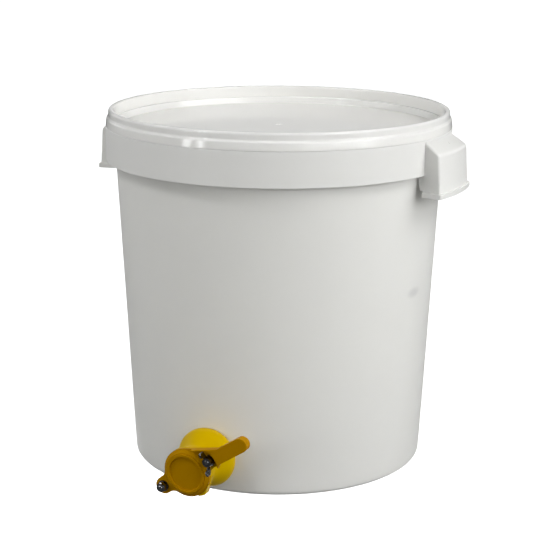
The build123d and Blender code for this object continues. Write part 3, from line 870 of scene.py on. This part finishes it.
    def ear(self, side: Side) -> Skin:
        """Carrying ear: a hollow box with a sloping roof, a drafted face and a lip round its open bottom.

        Roof and face are one profile swept through the ear's angle. At each side the profile sinks along its
        normal by r (1 - sin a), at a distance of r (1 - cos a) from the side, which rounds the corner. The
        pocket's roof and face are a profile swept the same way, with sharp sides. Rings round three sides
        join both over the lip, and flat faces close the sides and the root inside the ring.

        Args:
            side: the side of the tank that carries it.

        Returns:
            The ear's surface.
        """
        skin = Skin()
        slope = self.roof_slope
        lip_top = self.ear_bottom + self.ear_lip_height
        fall = (self.ear_bottom_radius - self.ear_top_radius) / (self.ear_roof_edge - self.ear_bottom)
        lip_radius = self.ear_top_radius + (self.ear_roof_edge - lip_top) * fall
        lip_angle = self.ear_angle + np.degrees(self.ear_lip / self.ear_bottom_radius)
        lip_outside = self.ear_bottom_radius + self.ear_lip
        pocket_foot = self.ear_bottom_radius - self.ear_wall

        def spot(radius: Numbers, angle: Numbers, height: Numbers) -> np.ndarray:
            """Points at a radius, an angle in degrees from the ear's middle and a height."""
            return LEVEL.polar(radius, np.radians(side.value + angle), height)

        def roof(radius: np.ndarray) -> np.ndarray:
            """Height of the roof at a radius."""
            return self.ear_roof_root - (radius - self.ring_radius) * slope

        corner = np.linspace(0, np.pi / 2, self.ear_side_steps)
        from_side = np.degrees(self.ear_side_round * (1 - np.cos(corner)) / self.ear_top_radius)
        sink = self.ear_side_round * (1 - np.sin(corner))
        flat = self.ear_angle - from_side[-1]
        face = np.linspace(-flat, flat, self.ear_columns)[1:-1]
        angles = np.concatenate([from_side - self.ear_angle, face, (self.ear_angle - from_side)[::-1]])
        sink = np.concatenate([sink, np.zeros_like(face), sink[::-1]])
        sweep = angles / self.ear_angle

        window = self.dimple_place + np.array([-1, 1]) * self.dimple_window
        run = np.array([self.ear_anchor, *window, self.ear_top_radius])
        radii = np.array([0, 0, 0, self.ear_round])
        path = rounded(np.vstack([np.stack([run, roof(run), radii], axis=1), [(lip_radius, lip_top, 0)]]))
        along = unit(np.gradient(path, axis=0))
        normal = np.stack([-along[:, 1], along[:, 0]], axis=1)
        # The root sinks straight down and the foot straight inwards
        normal[0] = (0, np.hypot(1, slope))
        normal[-1] = (1, 0)
        outer = spot(path[:, :1] - normal[:, :1] * sink, angles, path[:, 1:] - normal[:, 1:] * sink)
        edge = self.ear_top_radius - self.ear_wall
        table = np.array([
            (self.ear_anchor, self.pocket_top, 0),
            (self.ring_radius, self.pocket_top, 0),
            (edge, self.pocket_top - (edge - self.ring_radius) * slope, self.pocket_round),
            (pocket_foot, self.ear_bottom, 0),
        ])
        pocket = rounded(table)
        inner = spot(pocket[:, :1], sweep * self.pocket_angle, pocket[:, 1:])
        # The dimple's window is two columns of the second row
        centre = len(angles) // 2
        keep = np.ones((len(path) - 1, len(angles) - 1), bool)
        keep[1, centre - 1 : centre + 1] = False
        skin.grid(outer, keep=keep)
        skin.grid(inner)
        skin.grid(np.stack([outer[0], inner[0]]))

        border = window_loop(angles[centre - 1 : centre + 2], window)
        around = np.arctan2(border[:, 1] - self.dimple_place, np.radians(border[:, 0]) * self.dimple_place)
        rim = np.stack([
            np.degrees(self.dimple * np.cos(around) / self.dimple_place),
            self.dimple_place + self.dimple * np.sin(around) / np.hypot(1, slope),
        ], axis=1)
        patch = hole_patch(border, rim, self.dimple_rings)
        dish = spot(patch[..., 1], patch[..., 0], roof(patch[..., 1]))
        inwards = -spot(slope, 0.0, 1.0) / np.hypot(1, slope)
        cup = np.stack([dish[-1], dish[-1] + inwards * self.dimple_depth])
        skin.grid(dish, closed=True)
        skin.grid(cup, closed=True)
        skin.cap(cup[-1])

        out = np.concatenate([[0], np.ones(len(sweep)), [0]])
        across = np.concatenate([[-1], sweep, [1]])
        round_off = np.concatenate([[0], sink, [0]])
        rings = np.array([
            (self.ear_angle, lip_radius, lip_top, 1),
            (lip_angle, lip_outside, lip_top, 1),
            (lip_angle, lip_outside, self.ear_bottom, 1),
            (self.pocket_angle, pocket_foot, self.ear_bottom, 0),
        ])
        angle, reach, height, rounding = rings.T[..., None]
        radius = self.ear_anchor + out * (reach - self.ear_anchor) - round_off * rounding
        lip = spot(radius, across * angle, height)
        skin.grid(lip)
        for column in (0, -1):
            skin.cap(np.vstack([outer[:, column], lip[:1, column]]))
            skin.cap(np.vstack([inner[:, column], lip[-1:, column]]))
            skin.cap(np.vstack([outer[:1, column], lip[:, column], inner[:1, column]]))
        return skin

    def webs(self) -> Skin:
        """Webs that carry the ears' sides on inwards under the ring: upright plates set back from the sides.

        Returns:
            The surface of all webs.
        """
        skin = Skin()
        top = self.ring_top - self.ring_wall / 2
        outline = np.array([
            self.web_foot,
            (self.web_reach, self.web_foot[1]),
            (self.web_reach, top),
            (self.web_bend[0], top),
            self.web_bend,
        ])
        back = np.degrees((self.web_sink + self.web / 2) / self.ring_radius)
        for side in Side:
            for end in (-1, 1):
                place = upright(side.value + end * (self.ear_angle - back))
                slab(skin, place, outline, -self.web / 2, self.web / 2, self.rib_edge)
        return skin

    def build(self) -> None:
        """Makes the tank's pieces and dresses them."""
        material = TANK_PLASTIC.material()
        for name, skin in {"shell": self.shell(), "ribs": self.ribs(), "ear_webs": self.webs()}.items():
            dress(skin.make(f"tank_{name}"), material, Slot.TANK, "tank")
        for side in Side:
            piece = self.ear(side).make(f"tank_ear_{side.name.lower()}", self.ear_crease)
            bevel = piece.modifiers.new("moulded_edges", "BEVEL")
            bevel.width = self.ear_edge * MM
            bevel.segments = self.ear_edge_steps
            bevel.limit_method = "ANGLE"
            bevel.angle_limit = np.radians(self.ear_edge_angle)
            dress(piece, material, Slot.TANK, "tank")


@dataclass
class Lid:
    """Lid moulding: a rim channel that clips over the tank's bead, a stepped dish and a flat panel."""

    thickness: float = 1.6
    top: float = 407.4
    skirt_radius: float = 198.0
    skirt_bottom: float = 388.75
    crease_radius: float = 197.0
    crease: float = 397.6
    crown_radius: float = 194.8
    crown_foot: float = 399.2
    well_radius: float = 189.2
    ledge: float = 393.7
    ledge_inside: float = 186.2
    panel: float = 386.7
    panel_radius: float = 183.0
    clip_radius: float = 194.9
    clip: float = 391.0
    mark_radius: float = 4.0
    mark_depth: float = 0.4
    pip_radius: float = 0.9
    fine_edge: float = 0.2
    crown_round: float = 2.6
    crease_round: float = 2.5
    column_step: float = 1.25
    row_length: float = 8.0

    def section(self) -> np.ndarray:
        """Section of the lid.

        Returns:
            Radius and height from the axis over the top, round the channel and back under the panel.
        """
        wall = self.thickness
        soft = wall / 2
        fine = self.fine_edge
        table = np.array([
            (0, self.panel, 0),
            (self.pip_radius, self.panel, fine),
            (self.pip_radius, self.panel - self.mark_depth, 0),
            (self.mark_radius, self.panel - self.mark_depth, fine),
            (self.mark_radius, self.panel, fine),
            (self.panel_radius, self.panel, soft),
            (self.ledge_inside, self.ledge, soft),
            (self.well_radius, self.ledge, soft),
            (self.well_radius, self.top, self.crown_round),
            (self.crown_radius, self.top, self.crown_round),
            (self.crown_radius, self.crown_foot, self.crease_round),
            (self.crease_radius, self.crease, self.crease_round),
            (self.skirt_radius, self.skirt_bottom, fine),
            (self.skirt_radius - wall, self.skirt_bottom, fine),
            (self.clip_radius, self.clip, fine),
            (self.crease_radius - wall, self.clip + wall, fine),
            (self.crease_radius - wall, self.crease - soft, fine),
            (self.crown_radius - wall, self.crown_foot - soft, fine),
            (self.crown_radius - wall, self.top - wall, self.crown_round - wall),
            (self.well_radius + wall, self.top - wall, self.crown_round - wall),
            (self.well_radius + wall, self.ledge - wall, soft),
            (self.ledge_inside + soft, self.ledge - wall, soft),
            (self.panel_radius + soft, self.panel - wall, soft),
            (0, self.panel - wall, 0),
        ])
        return divided(rounded(table), self.row_length)

    def build(self) -> None:
        """Turns the section about the tank's axis and dresses the lid."""
        skin = Skin()
        path = self.section()
        angles = np.radians(np.arange(0, 360, self.column_step))
        skin.grid(LEVEL.polar(path[:, :1], angles, path[:, 1:]), closed=True)
        dress(skin.make("lid_moulding"), LID_PLASTIC.material(), Slot.LID, "lid")


@dataclass
class HoneyValve:
    """Valve body: bell with a rim cut to the wall, neck, front plate with two ears, threaded tail, stop lug.

    Lengths along the valve's axis are measured from the outside of the wall.
    """

    tank: Tank
    gate_angle: float = 34.5
    bore: float = 19.0
    bore_edge: float = 0.4
    tail: float = 23.9
    tail_end: float = -25.0
    tail_edge: float = 0.6
    thread_pitch: float = 3.0
    thread_depth: float = 0.9
    thread_start: float = -19.0
    thread_rows: int = 10
    bell_foot: tuple[float, float] = (29.6, -4.0)
    bell_widest: tuple[float, float] = (33.4, 5.0)
    bell_shoulder: tuple[float, float] = (32.9, 12.0)
    bell_slope: tuple[float, float] = (28.6, 20.0)
    bell_steps: int = 9
    neck: tuple[float, float] = (23.0, 32.0)
    saddle_gap: float = 0.4
    pocket_radius: float = 28.0
    pocket_floor: float = 2.0
    plate_radius: float = 27.3
    plate_back: float = 45.5
    plate_front: float = 49.0
    plate_edge: float = 0.8
    plate_steps: int = 13
    ear_reach: float = 35.5
    ear_radius: float = 9.5
    ear_blend: float = 10.0
    groove_inside: float = 20.5
    groove_outside: float = 22.7
    groove_floor: float = 47.1
    groove_edge: float = 0.3
    stop_angle: float = -79.0
    stop_ends: tuple[float, float] = (-15.5, 22.0)
    stop_inside: float = 27.5
    stop_end_radius: float = 28.1
    stop_outside: float = 30.9
    stop_front: float = 54.0
    stop_edge: float = 0.25
    stop_round: float = 3.0
    stop_columns: int = 13

    def place(self) -> Place:
        """Frame of the valve, square to the leaning wall.

        Returns:
            The frame, with x across and y up the wall.
        """
        lean = np.radians(self.tank.draft)
        height = self.tank.hole_height
        return Place(
            np.array([0.0, -self.tank.wall_radius(height), height]),
            np.array([1.0, 0.0, 0.0]),
            np.array([0.0, -np.sin(lean), np.cos(lean)]),
            np.array([0.0, -np.cos(lean), -np.sin(lean)]),
        )

    def gate_place(self) -> Place:
        """Frame of the valve turned to the gate line."""
        return self.place().turned(self.gate_angle)

    def plate_outline(self) -> np.ndarray:
        """Outline of the front plate: a disc with a round ear at each end of the gate line, blended into it.

        Returns:
            The outline, counter-clockwise.
        """
        rise = self.ear_radius + self.ear_blend
        middle = np.sqrt((self.plate_radius + self.ear_blend) ** 2 - rise**2)
        touch = np.arctan2(rise, middle)
        root = (self.plate_radius - self.ear_radius * np.sin(touch)) / np.cos(touch)
        bulge = (np.pi / 2 - touch) / 2
        shoulder = self.plate_radius / np.cos(bulge)
        tip = self.ear_reach + self.ear_radius
        quarter = np.array([
            (tip, self.ear_radius, self.ear_radius),
            (root, self.ear_radius, self.ear_blend),
            (shoulder * np.cos(touch + bulge), shoulder * np.sin(touch + bulge), self.plate_radius),
        ])
        left = quarter[::-1] * (-1, 1, 1)
        top = np.vstack([quarter, left])
        return rounded(np.vstack([top, top * (-1, -1, 1)]), self.plate_steps, closed=True)

    def barrel_path(self) -> np.ndarray:
        """Profile of the groove, bore, tail, pocket, bell and neck.

        Returns:
            Radius and length from the groove's edge on the plate's front round to the neck at its back.
        """
        table = np.array([
            (self.groove_outside, self.plate_front, 0),
            (self.groove_outside, self.groove_floor, self.groove_edge),
            (self.groove_inside, self.groove_floor, self.groove_edge),
            (self.groove_inside, self.plate_front, self.groove_edge),
            (self.bore, self.plate_front, self.bore_edge),
            (self.bore, self.tail_end, self.tail_edge),
            (self.tail, self.tail_end, 0),
        ])
        rows = np.arange(self.tail_end, self.pocket_floor, self.thread_pitch / self.thread_rows)
        tail = np.stack([np.full_like(rows, self.tail), rows], axis=1)
        pocket = np.array([
            (self.tail, self.pocket_floor),
            (self.pocket_radius, self.pocket_floor),
            (self.pocket_radius, self.bell_foot[1]),
        ])
        knots = np.array([self.bell_foot, self.bell_widest, self.bell_shoulder, self.bell_slope, self.neck])
        bell = smooth_curve(knots, knots[1] - knots[0], np.array([0.0, 1.0]), self.bell_steps)
        return np.vstack([rounded(table)[:-1], tail, pocket, bell, [(self.neck[0], self.plate_back)]])

    def body(self) -> Skin:
        """Plate as rings of its outline, barrel turned about the axis on the plate's columns, and stop lug.

        The tail's thread climbs once a turn: at a share c of the pitch it is cut to 4 |c - 1/2| - 1/2 of its
        depth, between none and all. Rows below the wall's curve are lifted to it: it lies R - sqrt(R^2 - u^2)
        behind the axis point, for a distance u across and the wall's radius R. The lug is a low wedge whose
        inner face is an arc about the axis, clear of the gate's disc.

        Returns:
            The body's surface.
        """
        skin = Skin()
        place = self.gate_place()
        outline = self.plate_outline()
        angles = np.arctan2(outline[:, 1], outline[:, 0])
        rings = place.at(*edge_rings(outline, self.plate_back, self.plate_front, self.plate_edge))
        back = place.polar(self.neck[0], angles, self.plate_back)
        front = place.polar(self.groove_outside, angles, self.plate_front)
        skin.grid(np.concatenate([back[None], rings, front[None]]), closed=True)

        path = self.barrel_path()
        radius = np.broadcast_to(path[:, :1], (len(path), len(angles)))
        length = np.broadcast_to(path[:, 1:], radius.shape)
        climb = (length / self.thread_pitch + angles / (2 * np.pi)) % 1
        cut = self.thread_depth * np.clip(np.abs(climb - 0.5) * 4 - 0.5, 0, 1)
        threaded = (np.abs(radius - self.tail) < TINY) & (length < self.thread_start)
        radius = np.where(threaded, radius - cut, radius)
        wall = self.tank.wall_radius(self.tank.hole_height) / np.cos(np.radians(self.tank.draft))
        across = radius * np.cos(angles + np.radians(self.gate_angle))
        saddle = np.sqrt(wall**2 - across**2) - wall + self.saddle_gap
        foot = radius > self.pocket_radius - NEAR
        length = np.where(foot, np.maximum(length, saddle), length)
        skin.grid(place.polar(radius, angles, length), closed=True)

        stop = place.turned(self.stop_angle)
        turn = np.radians(np.linspace(*self.stop_ends, self.stop_columns))
        arc = np.stack([np.cos(turn), np.sin(turn)], axis=1)
        low, high = arc[[0, -1]] * self.stop_end_radius
        crest = rounded(np.array([(*low, 0), (self.stop_outside, 0, self.stop_round), (*high, 0)]))
        for inside, end in ((self.groove_outside, self.plate_front), (self.stop_inside, self.stop_front)):
            lug = np.vstack([crest, arc[::-1] * inside])
            slab(skin, stop, lug, self.plate_back, end, self.stop_edge)
        return skin

    def build(self, material: bpy.types.Material) -> None:
        """Makes the valve's body and dresses it."""
        dress(self.body().make("valve_moulding"), material, Slot.VALVE, "valve_body")


@dataclass
class Fasteners:
    """Bolts with cut threads; the nuts, washers and seals keep their CAD shapes."""

    valve: HoneyValve
    shank: float = 3.0
    head_flats: float = 10.0
    head_back: float = 42.7
    head_front: float = 46.7
    head_edge: float = 0.5
    end: float = 61.8
    point: float = 0.7
    pitch: float = 1.0
    thread_depth: float = 0.45
    columns: int = 32
    rows: int = 140

    def bolt(self, reach: float) -> Skin:
        """Hexagon bolt: a rounded hexagon, and a shank whose thread climbs once a turn.

        At a share c of the pitch the thread is cut to |2 c - 1| of its depth. The shank's end is a cone.

        Args:
            reach: its place along the gate line.

        Returns:
            The bolt's surface.
        """
        skin = Skin()
        place = self.valve.gate_place().turned(0, reach)
        head = hexagon(self.head_flats, self.head_edge)
        slab(skin, place, head, self.head_back, self.head_front, self.head_edge)
        angles = np.arange(self.columns) / self.columns * 2 * np.pi
        length = np.linspace(self.head_front - self.head_edge, self.end, self.rows)[:, None]
        climb = (length / self.pitch + angles / (2 * np.pi)) % 1
        radius = self.shank - self.thread_depth * np.abs(climb * 2 - 1)
        radius = np.minimum(radius, self.shank - self.point + self.end - length)
        skin.tube(place.polar(radius, angles, length))
        return skin

    def build(self) -> None:
        """Makes the bolts, and dresses them and the CAD nodes of the other fasteners and the seals."""
        steel = FASTENER_STEEL.material()
        for name, reach in (("pivot_bolt", -self.valve.ear_reach), ("clamp_bolt", self.valve.ear_reach)):
            dress(self.bolt(reach).make(f"{name}_threaded"), steel, Slot.STEEL, name)
        for node in ("pivot_washer", "pivot_nut", "clamp_washer"):
            dress_node(node, steel)
        dress_node("wing_nut", CAST_STEEL.material())
        dress_node("pivot_nut_collar", COLLAR_NYLON.material())
        rubber = SEAL_RUBBER.material()
        for node in ("outer_seal", "inner_seal", "gate_seal"):
            dress_node(node, rubber)


@dataclass(frozen=True)
class SoftBox:
    """Studio light: a glowing rectangle that points at the object, in metres and watts."""

    name: str
    azimuth: float
    elevation: float
    width: float
    height: float
    power: float
    distance: float = 2.6

    def build(self) -> None:
        """Adds the light on a sphere round the object. Azimuth 0 is the camera's side, 90 is its right."""
        data = bpy.data.lights.new(self.name, "AREA")
        data.shape = "RECTANGLE"
        data.size = self.width
        data.size_y = self.height
        data.energy = self.power
        turn = np.radians(self.azimuth + Studio.azimuth + FRONT)
        rise = np.radians(self.elevation)
        out = Vector((np.cos(turn) * np.cos(rise), np.sin(turn) * np.cos(rise), np.sin(rise)))
        light = bpy.data.objects.new(self.name, data)
        light.location = Vector((0, 0, Studio.aim)) + out * self.distance
        light.rotation_euler = out.to_track_quat("Z", "Y").to_euler()
        light.visible_camera = False
        bpy.context.scene.collection.objects.link(light)


# Name, azimuth, elevation, width, height and power of each box
SOFT_BOXES = (
    SoftBox("key_right", 64, 45, 1.9, 0.9, 24.5),
    SoftBox("low_right", 60, 18, 1.6, 1.1, 18.5),
    SoftBox("window_right", 56, 6, 0.4, 0.7, 3.2),
    SoftBox("front_right", 30, 18, 1.4, 1.0, 17),
    SoftBox("front_high", 16, 42, 2.2, 0.7, 4.5),
    SoftBox("fill_left", 297, 50, 0.6, 0.6, 15),
    SoftBox("side_left", 272, 28, 1.4, 1.8, 10.5),
    SoftBox("window_left_near", 310.5, 8, 0.22, 0.8, 4.8),
    SoftBox("window_left_far", 301, 8, 0.22, 0.8, 4.8),
    SoftBox("back_right", 126, 16, 2.0, 1.2, 6),
    SoftBox("back_left", 236, 16, 2.0, 1.2, 8),
    SoftBox("back_low", 180, 13, 2.0, 0.9, 3.4),
    SoftBox("back_below", 182, -38, 2.4, 1.2, 17),
)


@dataclass
class Studio:
    """Camera, backdrop and soft light. The camera repeats the photograph's place, angles and focal length.

    The camera's and the backdrop's lengths are millimetres, and the focal length is pixels. The lights'
    lengths and the camera's sight are metres.
    """

    azimuth: float = 25.7
    distance: float = 1713.46
    height: float = 646.53
    pitch: float = 14.404
    yaw: float = -0.070
    roll: float = 0.284
    focal: float = 1501.4
    image: int = 553
    sensor: float = 36.0
    sight: float = 100.0
    aim: float = 0.2
    room_light: float = 0.01
    floor_light: float = 0.14
    horizon: float = 0.1
    inside_light: float = 0.32
    inside_size: float = 0.08
    backdrop_radius: float = 20000.0
    backdrop_step: float = 5.0
    backdrop_glow: float = 1.05
    floor_gap: float = 0.2
    paper: str = "#F7F7F7"
    paper_drift: str = "#FAFAFA"
    paper_cloud: float = 333.0
    paper_dullness: float = 0.9

    def camera(self) -> None:
        """Adds the camera: forward is turned by the yaw, tipped by the pitch, and the picture is rolled."""
        pitch, yaw, roll = np.radians([self.pitch, self.yaw, self.roll])
        forward = np.array([np.sin(yaw) * np.cos(pitch), np.cos(yaw) * np.cos(pitch), -np.sin(pitch)])
        level = np.array([np.cos(yaw), -np.sin(yaw), 0])
        rise = np.cross(level, forward)
        right = np.cos(roll) * level + np.sin(roll) * rise
        up = np.cos(roll) * rise - np.sin(roll) * level
        side = LEVEL.turned(self.azimuth)
        about = np.stack([side.x, side.y, side.z], axis=1)
        pose = np.eye(4)
        pose[:3, :3] = about @ np.stack([right, up, -forward], axis=1)
        pose[:3, 3] = about @ np.array([0, -self.distance, self.height]) * MM
        data = bpy.data.cameras.new("camera")
        data.sensor_width = self.sensor
        data.lens = self.focal * self.sensor / self.image
        data.clip_end = self.sight
        camera = bpy.data.objects.new("camera", data)
        camera.matrix_world = Matrix(pose.tolist())
        bpy.context.scene.collection.objects.link(camera)
        bpy.context.scene.camera = camera

    def paper_material(self) -> bpy.types.Material:
        """Material of the floor and the backdrop: white paper, faintly clouded, that glows evenly.

        Returns:
            The new material.
        """
        material = bpy.data.materials.new("pale_backdrop_paper")
        material.use_nodes = True
        tree = material.node_tree
        shader = tree.nodes["Principled BSDF"]
        shader.inputs["Roughness"].default_value = self.paper_dullness
        shader.inputs["Emission Color"].default_value = linear(WHITE)
        shader.inputs["Emission Strength"].default_value = self.backdrop_glow
        place = add_node(tree, "ShaderNodeTexCoord").outputs["Object"]
        size = {"Scale": 1 / (self.paper_cloud * MM)}
        cloud = add_node(tree, "ShaderNodeTexNoise", size, {"Vector": place}).outputs[0]
        tint = add_node(
            tree,
            "ShaderNodeMix",
            {"data_type": "RGBA", 6: linear(self.paper), 7: linear(self.paper_drift)},
            {0: cloud},
        ).outputs[2]
        tree.links.new(tint, shader.inputs["Base Color"])
        return material

    def backdrop(self) -> None:
        """Adds the pale floor, a wide disc, and a pale dome over it, for the camera's eye alone.

        The floor is the radius r at angle a, from the middle to the dome's foot. The dome is a half sphere.
        """
        angles = np.radians(np.arange(0, 360, self.backdrop_step))
        spread = np.array([[0.0], [1.0]]) * self.backdrop_radius
        rise = np.radians(np.arange(0, 90 + self.backdrop_step, self.backdrop_step))[:, None]
        ring = np.cos(rise) * self.backdrop_radius
        surfaces = {
            "floor": (spread, -self.floor_gap),
            "backdrop": (ring, np.sin(rise) * self.backdrop_radius - self.floor_gap),
        }
        paper = self.paper_material()
        for name, (radius, height) in surfaces.items():
            skin = Skin()
            skin.grid(LEVEL.polar(radius, angles, height), closed=True)
            surface = skin.make(name)
            surface.data.materials.append(paper)
            surface.visible_diffuse = False
            surface.visible_glossy = False
            surface.visible_transmission = False
            surface.visible_shadow = False

    def light(self) -> None:
        """Adds the room's dim light, brighter from the floor, the soft boxes and a lamp inside the tank."""
        world = bpy.data.worlds.new("studio")
        world.use_nodes = True
        tree = world.node_tree
        direction = add_node(tree, "ShaderNodeTexCoord").outputs["Generated"]
        rise = add_node(tree, "ShaderNodeSeparateXYZ", None, {0: direction}).outputs[2]
        strength = add_node(
            tree,
            "ShaderNodeMapRange",
            {
                "From Min": -self.horizon,
                "From Max": self.horizon,
                "To Min": self.floor_light,
                "To Max": self.room_light,
            },
            {"Value": rise},
        ).outputs[0]
        background = tree.nodes["Background"]
        background.inputs["Color"].default_value = linear(WHITE)
        tree.links.new(strength, background.inputs["Strength"])
        bpy.context.scene.world = world
        for box in SOFT_BOXES:
            box.build()
        inside = bpy.data.lights.new("inside", "POINT")
        inside.energy = self.inside_light
        inside.shadow_soft_size = self.inside_size
        lamp = bpy.data.objects.new("inside", inside)
        lamp.location = (0, 0, self.aim)
        bpy.context.scene.collection.objects.link(lamp)

    def build(self) -> None:
        """Sets up the camera, the backdrop and the light."""
        self.camera()
        self.backdrop()
        self.light()
        bpy.context.scene.view_settings.view_transform = "Standard"


def main() -> None:
    """Builds the pieces, dresses the CAD nodes that stay and sets up the studio."""
    logging.basicConfig(level=logging.INFO, format="%(name)s: %(message)s")
    tank = Tank()
    tank.build()
    Lid().build()
    yellow = VALVE_PLASTIC.material()
    valve = HoneyValve(tank)
    valve.build(yellow)
    dress_node("back_nut", yellow)
    # The gate takes the yellow with painted shade, deeper and more orange than the body's
    dress_node("gate", GATE_PAINTED_SHADE_PLASTIC.material())
    Fasteners(valve).build()
    Studio().build()


if __name__ == "__main__":
    main()
